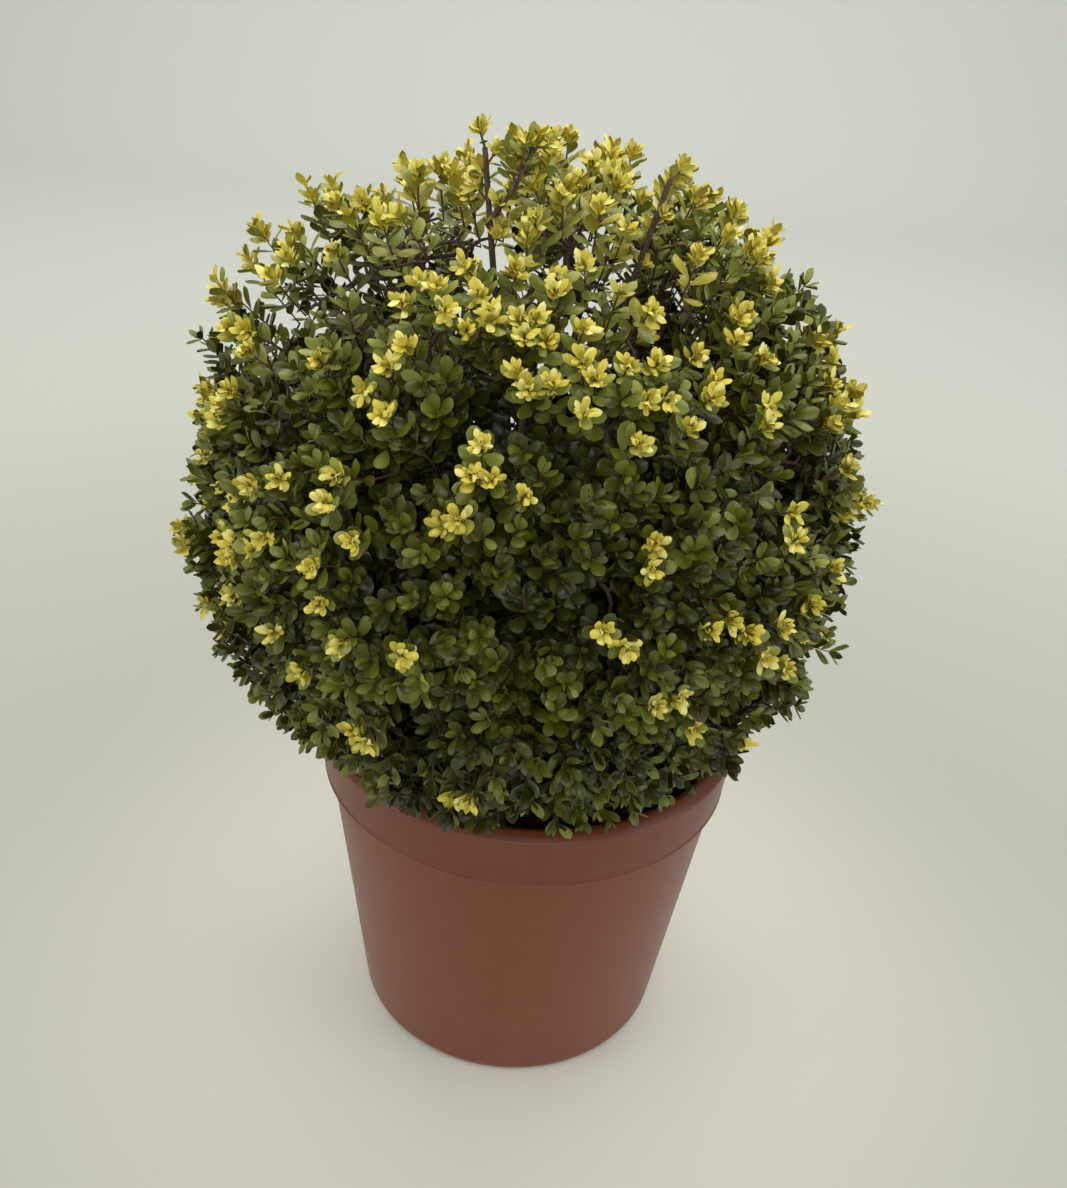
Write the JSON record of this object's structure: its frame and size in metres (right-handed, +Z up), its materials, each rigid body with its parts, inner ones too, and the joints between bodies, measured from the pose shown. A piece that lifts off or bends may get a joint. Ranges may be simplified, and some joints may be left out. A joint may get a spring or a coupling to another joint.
{
  "type": "potted Japanese holly ball",
  "caption": "Small-leaved evergreen shrub with golden shoot tips, clipped to a ball on a short stem and growing in a round terracotta-brown plastic nursery pot.",
  "frame": {"origin": "centre of the pot's flat underside, on the pot's axis", "axes": "+Z up along the pot's axis, -Y towards the front of the plant, +X to the right seen from the front"},
  "size_m": [0.4134, 0.4127, 0.619],
  "materials": {
    "pot_plastic": "satin terracotta-brown moulded plastic",
    "potting_soil": "dark moist peaty potting soil",
    "holly_bark": "thin grey-brown bark",
    "holly_foliage": "close small leathery leaves, deep green to gold"
  },
  "bodies": {
    "root": {"bough_lower_back": "holly_bark", "bough_lower_back_left": "holly_bark", "bough_lower_front": "holly_bark", "bough_lower_front_right": "holly_bark", "bough_lower_left": "holly_bark", "bough_lower_right": "holly_bark", "bough_middle_back_left": "holly_bark", "bough_middle_back_right": "holly_bark", "bough_middle_front_left": "holly_bark", "bough_middle_front_right": "holly_bark", "bough_middle_left": "holly_bark", "bough_middle_right": "holly_bark", "bough_top_left": "holly_bark", "bough_top_middle": "holly_bark", "bough_top_right": "holly_bark", "bough_upper_back_left": "holly_bark", "bough_upper_back_right": "holly_bark", "bough_upper_front": "holly_bark", "bough_upper_left": "holly_bark", "bough_upper_right": "holly_bark", "foliage_lower_back": "holly_foliage", "foliage_lower_back_left": "holly_foliage", "foliage_lower_front": "holly_foliage", "foliage_lower_front_right": "holly_foliage", "foliage_lower_left": "holly_foliage", "foliage_lower_right": "holly_foliage", "foliage_middle_back_left": "holly_foliage", "foliage_middle_back_right": "holly_foliage", "foliage_middle_front_left": "holly_foliage", "foliage_middle_front_right": "holly_foliage", "foliage_middle_left": "holly_foliage", "foliage_middle_right": "holly_foliage", "foliage_top_left": "holly_foliage", "foliage_top_middle": "holly_foliage", "foliage_top_right": "holly_foliage", "foliage_tuft_fork": "holly_foliage", "foliage_tuft_middle": "holly_foliage", "foliage_tuft_right": "holly_foliage", "foliage_upper_back_left": "holly_foliage", "foliage_upper_back_right": "holly_foliage", "foliage_upper_front": "holly_foliage", "foliage_upper_left": "holly_foliage", "foliage_upper_right": "holly_foliage", "pot": "pot_plastic", "soil": "potting_soil", "stem_fork": "holly_bark", "stem_middle": "holly_bark", "stem_right": "holly_bark", "trunk": "holly_bark"}
  },
  "joints": []
}
